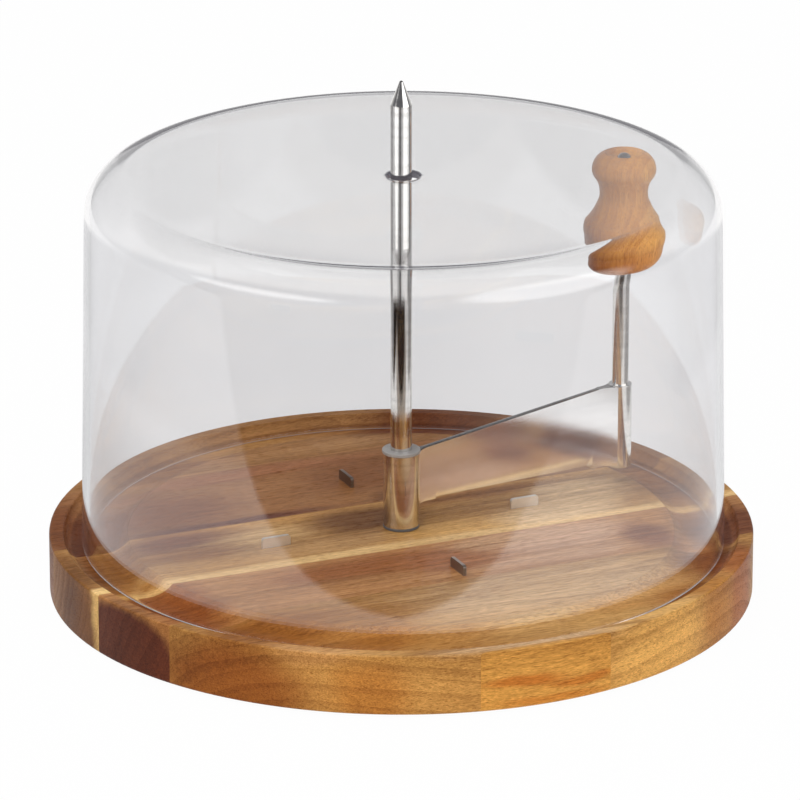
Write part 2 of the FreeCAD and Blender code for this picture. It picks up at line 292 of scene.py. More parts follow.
def spot(along, across, half_long, half_wide, colour,
         strength=0.85, soft=0.5, wobble=10.0, up=10.0, half_up=80.0):
    """A patch of another colour in a plank: its centre and half sizes, along, across and up.

    Along counts with the grain from the board's centre, and across towards the front."""
    return (along, across, up), (half_long, half_wide, half_up), soft, wobble, strength, colour


def plank_wood(name, heart, ring_width, colour, seed, spots, ring_depth=0.35):
    """Oiled hardwood of one plank: its own colour, patches of other colours (some of them painted shade,
    shadow, sheen and highlight), streaks, rings and pores, and painted shade on the cove's outer wall.
    """
    made, tree, shader = new_material(name)
    place = own_place(tree, GRAIN_AZIMUTH, flip=True)
    grain = use(tree, WOOD_GRAIN, {
        "Place": place, "Heart": (0.0, *heart), "Ring Width": ring_width, "Wander": 9.0, "Seed": seed})
    for number, (centre, size, softness, wobble, strength, stain) in enumerate(spots):
        mask = use(tree, WOOD_PATCH, {
            "Place": place, "Centre": centre, "Size": size, "Softness": softness, "Wobble": wobble,
            "Seed": seed + number})["Mask"]
        colour = blend(tree, sums(tree, "MULTIPLY", mask, strength), colour, stain)
    colour = tint(tree, colour, ramp(tree, mixed(tree, grain["Band"], grain["Fibre"], 0.5), STREAKS))
    colour = tint(tree, colour, RING_OR_PORE, sums(tree, "MULTIPLY", grain["Ring"], ring_depth))
    normal = add(tree, "ShaderNodeTexCoord").outputs["Normal"]
    tilt = sums(tree, "ABSOLUTE", add(tree, "ShaderNodeSeparateXYZ", {0: normal}).outputs["Z"])
    colour = tint(tree, colour, BOARD_SIDE, spread(tree, tilt, 0.15, 0.6, 1.0, 0.0, smooth=True))
    radius = vectors(tree, "LENGTH", vectors(tree, "MULTIPLY", place, (1.0, 1.0, 0.0)))
    colour = tint(tree, colour, COVE_WOOD, between(tree, radius, COVE_STARTS, COVE_ENDS))
    # Painted shade on the cove's outer wall.
    colour = tint(tree, colour, COVE_WALL_PAINTED_SHADE, between(tree, radius, COVE_WALL_STARTS, COVE_WALL_ENDS))
    colour = tint(tree, colour, RING_OR_PORE, sums(tree, "MULTIPLY", grain["Pore"], 0.6))
    speckle = noise(tree, place, scale=1.0, detail=2.0, roughness=0.6, seed=seed, stretch=(0.45, 3.2, 3.2))
    colour = tint(tree, colour, ramp(tree, speckle, SPECKLE))
    tree.links.new(colour, shader.inputs["Base Color"])
    rough = sums(tree, "ADD", 0.38, sums(tree, "MULTIPLY", grain["Pore"], 0.25))
    rough = sums(tree, "ADD", rough, sums(tree, "MULTIPLY", grain["Ring"], 0.06))
    tree.links.new(rough, shader.inputs["Roughness"])
    height = sums(tree, "SUBTRACT", sums(tree, "MULTIPLY", grain["Fibre"], 0.5), grain["Pore"])
    tree.links.new(bump(tree, height, 0.12, 0.3), shader.inputs["Normal"])
    shader.inputs["Specular IOR Level"].default_value = 0.12
    return made


# Half length of a patch that runs along its whole plank.
EVERYWHERE = 400.0

wear("plank_1", plank_wood(
    "front sliver of orange wood", (60.0, -260.0), 3.1, paint(210, 156, 82), 3.1, [
        spot(-8.0, 114.0, 13.0, 20.0, paint(184, 108, 40), 0.85, 0.5, 5.0, 10.5, 2.0),
        spot(12.0, 114.0, 12.0, 20.0, paint(188, 114, 44), 0.8, 0.5, 5.0, 8.0, 1.6),
        spot(2.0, 114.0, 16.0, 20.0, paint(196, 124, 52), 0.7, 0.5, 5.0, 3.5, 1.4)], ring_depth=0.2))
wear("plank_2", plank_wood(
    "golden wood", (92.0, -34.0), 5.0, paint(188, 140, 80), 11.7, [
        spot(20.0, 68.0, 50.0, 17.0, paint(212, 174, 126)),
        spot(-58.0, 72.0, 32.0, 15.0, paint(172, 118, 60)),
        spot(-74.0, 64.0, 20.0, 13.0, paint(160, 102, 42)),
        spot(-46.0, 85.0, 15.0, 7.0, paint(176, 118, 54)),
        spot(22.0, 94.0, 32.0, 7.0, paint(214, 176, 118)),
        spot(66.0, 86.0, 14.0, 9.0, paint(170, 112, 48)),
        spot(82.0, 62.0, 13.0, 13.0, paint(124, 66, 28)),
        # Darker low on the left side: painted shade near the floor.
        spot(-92.0, 72.0, 26.0, 26.0, paint(140, 80, 32), 0.9, 0.45, 8.0, 6.0, 14.0),
        spot(-54.0, 100.0, 14.0, 10.0, paint(170, 108, 44), 0.7, 0.5, 8.0, 8.0, 11.0),
        # These two narrow strips at the rim's inner edge are painted highlight.
        spot(-66.0, 88.0, 16.0, 9.0, paint(196, 146, 94), 0.7, 0.5, 6.0, 21.0, 4.0),
        spot(8.0, 108.0, 36.0, 5.5, paint(220, 188, 152), 0.8, 0.5, 4.0, 22.0, 3.0),
        spot(44.0, 107.0, 24.0, 11.0, paint(220, 172, 102), 0.9),
        spot(88.0, 76.0, 10.0, 14.0, paint(166, 98, 44), 0.9)], ring_depth=0.4))
wear("plank_3", plank_wood(
    "reddish wood", (120.0, -30.0), 4.0, paint(178, 126, 76), 23.3, [
        spot(-22.0, 29.0, 36.0, 9.0, paint(148, 86, 40)),
        spot(4.0, 37.0, 18.0, 7.0, paint(158, 94, 42), 0.8),
        # Lighter wood with painted sheen on the right of the board.
        spot(42.0, 29.0, 24.0, 11.0, paint(202, 160, 128)),
        spot(36.0, 45.0, 26.0, 5.0, paint(186, 142, 106), 0.8),
        spot(71.0, 40.0, 8.0, 11.0, paint(130, 74, 44)),
        spot(-92.0, 36.0, 12.0, 22.0, paint(144, 76, 28)),
        spot(99.0, 40.0, 14.0, 18.0, paint(108, 54, 26), 0.9),
        spot(20.0, 24.0, 14.0, 5.0, paint(196, 152, 110), 0.8),
        # Darker low on the left side: painted shade near the floor.
        spot(-112.0, 36.0, 13.0, 34.0, paint(90, 40, 22), 0.97, 0.15, 3.0, 6.0, 15.5)]))
wear("plank_4", plank_wood(
    "olive wood", (-90.0, 50.0), 5.2, paint(172, 126, 70), 31.9, [
        spot(-47.0, -9.0, 18.0, 9.0, paint(204, 166, 114)),
        spot(-28.0, 5.0, 26.0, 7.0, paint(184, 142, 92), 0.8),
        # Painted shadow and reflection of the hub around the pin's foot.
        spot(-8.0, -11.0, 18.0, 10.0, paint(100, 60, 30), 0.85),
        spot(18.0, 7.0, 20.0, 8.0, paint(208, 160, 92)),
        # These two are lighter wood with painted sheen on the right of the board.
        spot(52.0, 8.0, 20.0, 10.0, paint(226, 192, 146)),
        spot(66.0, -6.0, 15.0, 12.0, paint(216, 180, 132)),
        # Painted shadow and reflection of the blade along its foot.
        spot(36.0, -17.0, 34.0, 3.5, paint(128, 74, 32), 0.7, 0.6),
        spot(-74.0, -15.0, 22.0, 8.0, paint(110, 56, 32), 0.9, 0.7, 16.0),
        spot(-72.0, -3.0, 18.0, 5.0, paint(140, 88, 40), 0.8),
        spot(-98.0, -6.0, 9.0, 18.0, paint(148, 94, 34), 0.8),
        spot(-113.0, -4.0, 5.0, 22.0, paint(122, 76, 32), 0.8),
        spot(100.0, -8.0, 11.0, 20.0, paint(146, 92, 48), 0.8),
        # Darker low on the left side: painted shade near the floor.
        spot(-114.0, 6.0, 6.0, 16.0, paint(112, 70, 34), 0.9, 0.4, 4.0, 6.0, 15.0),
        spot(0.0, 18.6, EVERYWHERE, 4.6, paint(232, 194, 134), 0.75, 0.5, 7.0, 21.0, 15.0),
        spot(-106.0, 21.0, 10.0, 8.0, paint(232, 196, 130), 0.8, 0.3, 5.0)]))
wear("plank_5", plank_wood(
    "brown wood", (-30.0, -120.0), 4.4, paint(150, 102, 60), 47.3, [
        spot(-70.0, -42.0, 26.0, 16.0, paint(118, 64, 32), 0.8),
        spot(-100.0, -40.0, 14.0, 26.0, paint(114, 60, 22), 0.85),
        # Painted shade and reflection behind the hub and blade.
        spot(12.0, -50.0, 24.0, 14.0, paint(124, 72, 36), 0.6),
        spot(-52.0, -25.5, 34.0, 3.2, paint(98, 50, 36), 0.9, 0.5, 7.0),
        spot(-30.0, -66.0, 44.0, 5.0, paint(152, 94, 60), 0.6),
        spot(60.0, -40.0, 24.0, 14.0, paint(190, 146, 106), 0.6),
        # Painted shadow of the blade and hub.
        spot(19.0, -29.0, 14.0, 5.0, paint(92, 52, 26), 0.9)]))
wear("plank_6", plank_wood(
    "back tan wood", (-150.0, -40.0), 4.1, paint(156, 110, 64), 53.9, [
        spot(-48.0, -86.0, 24.0, 10.0, paint(132, 84, 42), 0.7),
        spot(-16.0, -98.0, 24.0, 7.0, paint(170, 126, 72), 0.8),
        spot(20.0, -80.0, 22.0, 6.0, paint(162, 118, 74), 0.8),
        spot(52.0, -92.0, 28.0, 15.0, paint(102, 50, 20), 0.9)]))


# Metal: brushing and handling marks are shared.

def marks_group():
    """Fine brush lines and faint smears on metal, from a place stretched along the brushing."""
    tree, given, result = new_group(
        "metal marks",
        [("Place", "NodeSocketVector"), ("Fineness", "NodeSocketFloat"), ("Low", "NodeSocketFloat"),
         ("High", "NodeSocketFloat")],
        [("Roughness", "NodeSocketFloat"), ("Height", "NodeSocketFloat"), ("Smear", "NodeSocketFloat")])
    lines = add(tree, "ShaderNodeTexNoise", {
        "Vector": given["Place"], "Scale": given["Fineness"], "Detail": 4.0, "Roughness": 0.6}).outputs[0]
    smear = noise(tree, given["Place"], scale=0.09, detail=3.0, roughness=0.55, seed=4.0)
    rough = add(tree, "ShaderNodeMapRange", {
        "Value": mixed(tree, lines, smear, 0.6), "From Min": 0.3, "From Max": 0.7,
        "To Min": given["Low"], "To Max": given["High"]})
    tree.links.new(rough.outputs[0], result["Roughness"])
    tree.links.new(lines, result["Height"])
    tree.links.new(smear, result["Smear"])
    return tree


METAL_MARKS = marks_group()


def steel(name, colour, low, high, stretch, fineness=1.0, depth=0.004, turn=0.0, centre=(0.0, 0.0, 0.0)):
    """Steel with a roughness from low to high.

    Its brush lines are short where stretch is large and long where it is small."""
    made, tree, shader = new_material(name)
    place = vectors(tree, "MULTIPLY", own_place(tree, turn, centre), stretch)
    marks = use(tree, METAL_MARKS, {"Place": place, "Fineness": fineness, "Low": low, "High": high})
    smeared = tuple(part * 0.86 for part in colour[:3]) + (1.0,)
    handled = ramp(tree, marks["Smear"], [(0.35, smeared), (0.65, colour)])
    tree.links.new(handled, shader.inputs["Base Color"])
    tree.links.new(marks["Roughness"], shader.inputs["Roughness"])
    tree.links.new(bump(tree, marks["Height"], depth), shader.inputs["Normal"])
    shader.inputs["Metallic"].default_value = 1.0
    return made


# Painted shade for the blade's narrow top.
TOP_PAINTED_SHADE = (0.40, 0.38, 0.36, 1.0)


def even_face(made, azimuth):
    """Lets the honed edge of an upright blade shine like its flat face, and paints shade on its narrow top.
    """
    tree = made.node_tree
    shader = tree.nodes["Principled BSDF"]
    normal = add(tree, "ShaderNodeTexCoord").outputs["Normal"]
    square = (math.sin(math.radians(azimuth)), -math.cos(math.radians(azimuth)), 0.0)
    facing = vectors(tree, "DOT_PRODUCT", normal, square)
    flat = vectors(tree, "SCALE", square, scale=sums(tree, "SIGN", facing))
    honed_or_flat = sums(tree, "GREATER_THAN", sums(tree, "ABSOLUTE", facing), 0.75)
    away = vectors(tree, "SCALE", vectors(tree, "SUBTRACT", flat, normal), scale=honed_or_flat)
    turned = add(tree, "ShaderNodeVectorTransform", {0: vectors(tree, "ADD", normal, away)},
                 vector_type="NORMAL", convert_from="OBJECT", convert_to="WORLD").outputs[0]
    tree.links.new(turned, shader.inputs["Normal"].links[0].from_node.inputs["Normal"])
    up = add(tree, "ShaderNodeSeparateXYZ", {0: normal}).outputs["Z"]
    face = shader.inputs["Base Color"].links[0].from_socket
    # Painted shade on the blade's narrow top, dimming the highlight there.
    narrow_top = spread(tree, up, 0.6, 0.8)
    shaded_top = blend(tree, narrow_top, face, TOP_PAINTED_SHADE)
    tree.links.new(shaded_top, shader.inputs["Base Color"])
    return made


# Stretches of the brush lines: round a turned piece, along the blade or a spike, or without direction.
TURNED = (0.25, 0.25, 5.0)
ALONG_BLADE = (0.04, 1.0, 1.6)
ALONG_SPIKE = (0.5, 1.0, 3.0)
COARSE = (1.0, 1.0, 1.0)
FINE = (2.0, 2.0, 2.0)

BRIGHT = (0.80, 0.785, 0.76, 1.0)
BLADE_BRIGHT = (0.96, 0.955, 0.95, 1.0)
RIVET_GREY = (0.62, 0.61, 0.60, 1.0)
ZINC_GREY = (0.55, 0.56, 0.58, 1.0)

# The second and fourth spikes look darker in the photograph: their colour is painted shade, for flat faces
# that mirror shaded wood.
SPIKE_BRIGHT = (0.90, 0.89, 0.88, 1.0)
SPIKE_PAINTED_SHADE = (0.30, 0.25, 0.21, 1.0)
FIRST_SPIKE_AZIMUTH = 114.3

arm_turn = math.radians(CRANK_AZIMUTH)
arm_end = (ARM_RADIUS * math.cos(arm_turn), ARM_RADIUS * math.sin(arm_turn), 0.0)

wear("centre_pin", steel("polished pin steel", BRIGHT, 0.03, 0.07, TURNED))
wear("hub_sleeve", steel("polished tube steel", BRIGHT, 0.07, 0.14, TURNED))
wear("handle_socket", steel("polished socket steel", BRIGHT, 0.07, 0.14, TURNED, centre=arm_end))
wear("handle_rod", steel("polished rod steel", BRIGHT, 0.05, 0.12, TURNED, centre=arm_end))
wear("knob_rivet", steel("rivet steel", RIVET_GREY, 0.08, 0.14, FINE, centre=arm_end))
blade_steel = steel("blade steel", BLADE_BRIGHT, 0.09, 0.15, ALONG_BLADE, fineness=2.0, turn=CRANK_AZIMUTH)
wear("blade", even_face(blade_steel, CRANK_AZIMUTH))
# Spikes 2 and 4 wear painted shade.
for number, colour in enumerate((SPIKE_BRIGHT, SPIKE_PAINTED_SHADE, SPIKE_BRIGHT, SPIKE_PAINTED_SHADE)):
    wear(f"spike_{number + 1}", steel(
        f"satin spike steel {number + 1}", colour, 0.30, 0.42, ALONG_SPIKE, fineness=2.0,
        turn=FIRST_SPIKE_AZIMUTH + 90.0 * number))
zinc = steel("zinc plate", ZINC_GREY, 0.28, 0.45, COARSE, fineness=1.5, depth=0.01)
wear("pin_washer", zinc)
wear("pin_nut", zinc)


# Plastics and rubber.

def moulded(name, light, dark, rough, grain=1.6, depth=0.03):
    """Moulded nylon or rubber: a fine matt texture with slightly uneven colour."""
    made, tree, shader = new_material(name)
    place = own_place(tree)
    fine = noise(tree, place, scale=grain, detail=4.0, roughness=0.6, seed=2.0)
    broad = noise(tree, place, scale=0.12, detail=2.0, roughness=0.5, seed=7.0)
    uneven = mixed(tree, fine, broad, 0.4)
    tree.links.new(ramp(tree, uneven, [(0.35, dark), (0.65, light)]), shader.inputs["Base Color"])
    tree.links.new(spread(tree, fine, 0.3, 0.7, rough - 0.05, rough + 0.08), shader.inputs["Roughness"])
    tree.links.new(bump(tree, fine, depth), shader.inputs["Normal"])
    return made


wear("hub_bush_upper", moulded("light grey nylon", paint(172, 168, 164), paint(142, 138, 135), 0.34))
# The lower bush is the same nylon as the upper one; its darker grey is painted shade.
wear("hub_bush_lower", moulded("grey nylon in painted shade", paint(108, 106, 106), paint(84, 83, 84), 0.40))
rubber = moulded("foot rubber", paint(150, 150, 148), paint(126, 126, 124), 0.62, grain=1.1, depth=0.05)
for number in range(4):
    wear(f"foot_{number + 1}", rubber)


# The turned knob: its grain runs up the knob, so its rings show as arches on the flanks.

KNOB_STREAKS = [(0.36, paint(152, 84, 26)), (0.50, paint(190, 122, 48)), (0.64, paint(212, 150, 72))]
# Painted shade on the knob's left, fading to painted sheen on its right.
KNOB_PAINTED_SHADE_TO_SHEEN = [(0.0, (0.76, 0.74, 0.60, 1.0)), (1.0, (1.75, 2.10, 2.6, 1.0))]
KNOB_BELOW_HEAD = (0.86, 0.72, 0.58, 1.0)
KNOB_RING = paint(190, 140, 100)
KNOB_PORE = paint(160, 116, 84)


def knob_wood():
    """Oiled wood of the knob, browner below its head, with painted shade on its left and painted sheen on
    its right.
    """
    made, tree, shader = new_material("turned knob wood")
    upright = own_place(tree, 0.0, arm_end)
    parts = add(tree, "ShaderNodeSeparateXYZ", {0: upright}).outputs
    place = add(tree, "ShaderNodeCombineXYZ", {0: parts["Z"], 1: parts["X"], 2: parts["Y"]}).outputs[0]
    grain = use(tree, WOOD_GRAIN, {
        "Place": place, "Heart": (0.0, -34.0, 14.0), "Ring Width": 2.6, "Wander": 5.0, "Seed": 71.0})
    colour = ramp(tree, mixed(tree, grain["Band"], grain["Fibre"], 0.6), KNOB_STREAKS)
    # Painted shade on the knob's left and painted sheen on its right.
    colour = tint(tree, colour, ramp(tree, spread(tree, parts["X"], -12.0, 10.0), KNOB_PAINTED_SHADE_TO_SHEEN))
    below_head = spread(tree, parts["Z"], 103.0, 112.0, 1.0, 0.0, smooth=True)
    colour = tint(tree, colour, KNOB_BELOW_HEAD, below_head)
    colour = tint(tree, colour, KNOB_RING, sums(tree, "MULTIPLY", grain["Ring"], 0.22))
    colour = tint(tree, colour, KNOB_PORE, sums(tree, "MULTIPLY", grain["Pore"], 0.5))
    tree.links.new(colour, shader.inputs["Base Color"])
    rough = sums(tree, "ADD", 0.38, sums(tree, "MULTIPLY", grain["Pore"], 0.2))
    tree.links.new(rough, shader.inputs["Roughness"])
    height = sums(tree, "SUBTRACT", sums(tree, "MULTIPLY", grain["Fibre"], 0.4), grain["Pore"])
    tree.links.new(bump(tree, height, 0.08, 0.5), shader.inputs["Normal"])
    return made


wear("knob", knob_wood())


# The clear dome: spun from its section, in place of the CAD node of the same size.

DOME = {"top": 120.0, "shoulder": 90.86, "corner": 11.8, "inner_corner": 10.05, "draft": 1.2, "wall": 2.3,
        "hole": 5.6, "hole_edge": 0.2, "foot_edge": 0.9, "shift": 0.65}

# A ray that has met more surfaces than this has come in through the dome's wall and met the steel
# inside, or is trapped in the clear plastic.
INSIDE_DOME_DEPTH = 4.5
# A painted glow, not a lamp, for rays trapped in the plastic.
TRAPPED_PAINTED_GLOW = (0.06, 0.057, 0.066, 1.0)


def clear_plastic():
    """Clear plastic with slow waves, with a faint painted glow in place of black where rays are trapped in
    its edges.
    """
    made, tree, shader = new_material("clear dome plastic")
    place = own_place(tree)
    waves = noise(tree, place, scale=0.02, detail=2.0, roughness=0.4, seed=5.0)
    haze = noise(tree, place, scale=0.05, detail=3.0, roughness=0.5, seed=8.0)
    clearness = ramp(tree, haze, [(0.3, (0.945, 0.945, 0.95, 1.0)), (0.7, (0.955, 0.955, 0.96, 1.0))])
    tree.links.new(clearness, shader.inputs["Base Color"])
    tree.links.new(bump(tree, waves, 0.05, 0.3), shader.inputs["Normal"])
    shader.inputs["Roughness"].default_value = 0.0
    shader.inputs["IOR"].default_value = 1.57
    shader.inputs["Transmission Weight"].default_value = 1.0
    depth = add(tree, "ShaderNodeLightPath").outputs["Ray Depth"]
    trapped = sums(tree, "GREATER_THAN", depth, INSIDE_DOME_DEPTH)
    # Painted glow where rays are trapped in the plastic.
    tree.links.new(blend(tree, trapped, BLACK, TRAPPED_PAINTED_GLOW), shader.inputs["Emission Color"])
    shader.inputs["Emission Strength"].default_value = 1.0
    return made


def dome_piece():
    """The dome's wall in section, its shoulder bent inside and out, spun about its own axis."""
    lean = math.radians(DOME["draft"])
    corner, bend, wall, top = DOME["corner"], DOME["inner_corner"], DOME["wall"], BOARD_TOP + DOME["top"]
    hole, foot, under = DOME["hole"], COVE_FLOOR, top - wall
    bend_low = top - corner * (1 - math.sin(lean))
    wall_at_bend = DOME["shoulder"] + corner * math.cos(lean)

    def outside(height):
        return wall_at_bend + (bend_low - height) * math.tan(lean)

    across = wall / math.cos(lean)
    square = math.pi / 2
    shoulder_turn = square - lean
    # Straight run that is kept beside each bend.
    beside = 1.5
    outer_reach = corner * math.tan(shoulder_turn / 2) + beside
    inner_reach = bend * math.tan(shoulder_turn / 2) + beside
    inner_corner = outside(under) - across
    section = [
        (hole, top), (hole + beside, top), (outside(top) - outer_reach, top), (outside(top), top),
        (outside(top - outer_reach), top - outer_reach), (outside(foot + beside), foot + beside),
        (outside(foot), foot), (outside(foot) - across, foot),
        (outside(foot + beside) - across, foot + beside),
        (outside(under - inner_reach) - across, under - inner_reach), (inner_corner, under),
        (inner_corner - inner_reach, under), (hole + beside, under), (hole, under)]
    # Each rounded corner: its place in the section, its radius, the angle it turns through and its steps.
    rounded = [
        (3, corner, shoulder_turn, 32), (10, bend, shoulder_turn, 32),
        (0, DOME["hole_edge"], square, 3), (13, DOME["hole_edge"], square, 3),
        (6, DOME["foot_edge"], square, 3), (7, DOME["foot_edge"], square, 3)]
    mesh = bmesh.new()
    corners = [mesh.verts.new((radius * MM, 0.0, height * MM)) for radius, height in section]
    for first, second in zip(corners, corners[1:] + corners[:1]):
        mesh.edges.new((first, second))
    for number, radius, angle, steps in rounded:
        bmesh.ops.bevel(mesh, geom=[corners[number]], offset=radius * math.tan(angle / 2) * MM,
                        offset_type="OFFSET", segments=steps, profile=0.5, affect="VERTICES", material=-1)
    bmesh.ops.spin(mesh, geom=mesh.verts[:] + mesh.edges[:], cent=(0, 0, 0), axis=(0, 0, 1), dvec=(0, 0, 0),
                   angle=2 * math.pi, steps=360, use_merge=True, use_normal_flip=False, use_duplicate=False)
    bmesh.ops.remove_doubles(mesh, verts=mesh.verts[:], dist=0.00001)
    bmesh.ops.recalc_face_normals(mesh, faces=mesh.faces[:])
    bmesh.ops.translate(mesh, verts=mesh.verts[:], vec=(DOME["shift"] * MM, 0.0, 0.0))
    made = finished("clear_dome", mesh, clear_plastic(), "dome", 40.0)
    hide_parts("dome")
    made.visible_shadow = False
    made.visible_diffuse = False
    return made


dome_piece()


# The studio: a white table with dark floor round it, soft lights that only reflections see, and lamps.

# Tones of the floor in reflections, by bearing in degrees clockwise from the camera's side.
# What the dome's wall shows: the table, its far part, and the shade in front of it.
TABLE_FOR_DOME = (
    (-180, 0.895), (-151, 0.895), (-138, 0.74), (-128, 0.70), (-104, 0.70), (-90, 0.85), (-70, 1.0),
    (-10, 1.0), (10, 1.2), (62, 1.25), (80, 0.90), (124, 0.80), (151, 0.895), (180, 0.895))
FAR_TABLE_FOR_DOME = (
    (-180, 0.86), (-154, 0.86), (-142, 0.74), (-128, 0.68), (-104, 0.54), (-96, 0.50), (-88, 0.50),
    (-60, 0.52), (0, 0.5), (50, 0.74), (80, 0.84), (96, 0.80), (104, 0.64), (124, 0.66), (150, 0.86),
    (180, 0.86))
SHADE_FOR_DOME = ((-180, 0.03), (6, 0.03), (18, 0.20), (34, 0.38), (52, 0.43), (180, 0.43))
# What the steel inside the dome shows: the floor near the table and the floor farther off.
NEAR_FLOOR = (
    (-180, 0.87), (-150, 0.72), (-120, 0.48), (-92, 0.33), (-84, 0.01), (34, 0.01), (44, 0.78),
    (72, 0.74), (86, 0.34), (118, 0.34), (140, 0.66), (180, 0.87))
FAR_FLOOR = (
    (-180, 0.87), (-150, 0.70), (-122, 0.36), (-105, 0.36), (-95, 1.10), (-47, 1.10), (-34, 0.60),
    (-18, 0.5), (-16, 0.03), (-6, 0.03), (-4, 0.62), (14, 0.95), (16, 1.15), (60, 1.15), (76, 0.32),
    (118, 0.36), (145, 0.70), (180, 0.87))

# Colours of single places on the floor: far behind the board for the dome, and the table, the floor
# behind it and the table's front for the steel.
FAR_BEHIND = (1.02, 1.015, 1.01, 1.0)
TABLE_WHITE = (1.12, 1.12, 1.12, 1.0)
BACKDROP_WHITE = (0.895, 0.895, 0.90, 1.0)
TABLE_FRONT = (0.46, 0.42, 0.38, 1.0)

# For the dome: how far in front the table ends, how much farther to the front that is for each
# millimetre to the right and to the left, by how much at most, and ranges in which parts fade.
FRONT_EDGE = 190.0
SLANT_RIGHT = 0.26
SLANT_LEFT = 0.11
MOST_SLANT = 50.0
EDGE_FADES = (-2.0, 3.0)
FAR_TABLE_FADES = (305.0, 345.0)
FAR_BEHIND_FADES = (318.0, 338.0)
FAR_BEHIND_BEND = 0.35

# For the steel, ranges in which one part of the floor fades into the next.
BACKDROP_FADES = (60.0, 140.0)
TABLE_FRONT_FADES = (112.0, 150.0)
FRONT_FLOOR_FADES = (186.0, 194.0)
SIDE_FLOOR_FADES = (196.0, 216.0)
FAR_FLOOR_FADES = (326.0, 336.0)


def studio_material(name):
    """A material without its usual shader, for the floor or a light."""
    made, tree, shader = new_material(name)
    tree.nodes.remove(shader)
    return made, tree


def floor_material():
    """White to the camera, pale and matt to the lamps, and in reflections a table with dark floor round it.

    The dome's wall and the steel inside the dome each see a layout of their own."""
    made, tree = studio_material("studio floor")
    place = own_place(tree)
    speck = noise(tree, place, scale=0.02, detail=2.0, roughness=0.5, seed=1.0)
    colour = ramp(tree, speck, [(0.3, (0.79, 0.79, 0.79, 1.0)), (0.7, (0.81, 0.81, 0.81, 1.0))])
    matt = add(tree, "ShaderNodeBsdfDiffuse", {"Color": colour})

    parts = add(tree, "ShaderNodeSeparateXYZ", {0: place}).outputs
    across, behind = parts["X"], parts["Y"]
    ahead = sums(tree, "MULTIPLY", behind, -1.0)
    sideways = sums(tree, "ABSOLUTE", across)
    away = vectors(tree, "LENGTH", place)
    bearing = sums(tree, "DEGREES", sums(tree, "ARCTAN2", across, ahead))
    turn = spread(tree, bearing, -180.0, 180.0)

    def round_about(levels):
        """Tone by bearing, from a table of tones."""
        return ramp(tree, turn, [((degrees + 180.0) / 360.0, (level, level, level * 1.01, 1.0))
                                 for degrees, level in levels])

    slant = sums(tree, "MAXIMUM", sums(tree, "MULTIPLY", across, SLANT_RIGHT),
                 sums(tree, "MULTIPLY", across, -SLANT_LEFT))
    edge = sums(tree, "ADD", sums(tree, "MINIMUM", slant, MOST_SLANT), FRONT_EDGE)
    past_edge = spread(tree, sums(tree, "SUBTRACT", ahead, edge), *EDGE_FADES, smooth=True)
    farther = spread(tree, away, *FAR_TABLE_FADES, smooth=True)
    lit = blend(tree, farther, round_about(TABLE_FOR_DOME), round_about(FAR_TABLE_FOR_DOME))
    for_dome = blend(tree, past_edge, lit, round_about(SHADE_FOR_DOME))
    bent = sums(tree, "SUBTRACT", behind, sums(tree, "MULTIPLY", sideways, FAR_BEHIND_BEND))
    far_behind = spread(tree, bent, *FAR_BEHIND_FADES, smooth=True)
    for_dome = blend(tree, far_behind, for_dome, FAR_BEHIND)

    table = ramp(tree, spread(tree, behind, *BACKDROP_FADES), [(0.0, TABLE_WHITE), (1.0, BACKDROP_WHITE)])
    table = blend(tree, spread(tree, ahead, *TABLE_FRONT_FADES, smooth=True), table, TABLE_FRONT)
    beyond_front = spread(tree, ahead, *FRONT_FLOOR_FADES, smooth=True)
    beyond_side = spread(tree, sideways, *SIDE_FLOOR_FADES, smooth=True)
    off_table = sums(tree, "MAXIMUM", beyond_front, beyond_side)
    outer = spread(tree, away, *FAR_FLOOR_FADES, smooth=True)
    floor = blend(tree, outer, round_about(NEAR_FLOOR), round_about(FAR_FLOOR))
    for_steel = blend(tree, off_table, table, floor)

    path = add(tree, "ShaderNodeLightPath").outputs
    from_steel = sums(tree, "GREATER_THAN", path["Ray Depth"], INSIDE_DOME_DEPTH)
    tone = blend(tree, from_steel, for_dome, for_steel)
    mirrored = add(tree, "ShaderNodeEmission", {"Color": tone, "Strength": 1.0})
    seen = add(tree, "ShaderNodeEmission", {"Color": WHITE, "Strength": 1.0})
    reflected = sums(tree, "MAXIMUM", path["Is Glossy Ray"], path["Is Transmission Ray"])
    unseen = add(tree, "ShaderNodeMixShader", {0: reflected, 1: matt.outputs[0], 2: mirrored.outputs[0]})
    share = sums(tree, "MULTIPLY", path["Is Camera Ray"], 0.98)
    final = add(tree, "ShaderNodeMixShader", {0: share, 1: unseen.outputs[0], 2: seen.outputs[0]})
    tree.links.new(final.outputs[0], tree.nodes["Material Output"].inputs["Surface"])
    return made


def light_material(name, matrix, level):
    """Glows in an oval that fades out towards its edge."""
    made, tree = studio_material(name)
    middle, turn, size = matrix.decompose()
    coordinates = add(tree, "ShaderNodeTexCoord").outputs["Object"]
    local = add(tree, "ShaderNodeMapping", {
        "Vector": coordinates, "Location": middle, "Rotation": turn.to_euler(), "Scale": size},
        vector_type="TEXTURE").outputs[0]
    shine = spread(tree, vectors(tree, "LENGTH", local), 0.60, 1.0, 1.0, 0.0, smooth=True)
    clear = add(tree, "ShaderNodeBsdfTransparent")
    glow = add(tree, "ShaderNodeEmission", {"Color": WHITE, "Strength": level})
    shown = add(tree, "ShaderNodeMixShader", {0: shine, 1: clear.outputs[0], 2: glow.outputs[0]})
    tree.links.new(shown.outputs[0], tree.nodes["Material Output"].inputs["Surface"])
    return made


LIGHT_DISTANCE = 1.5


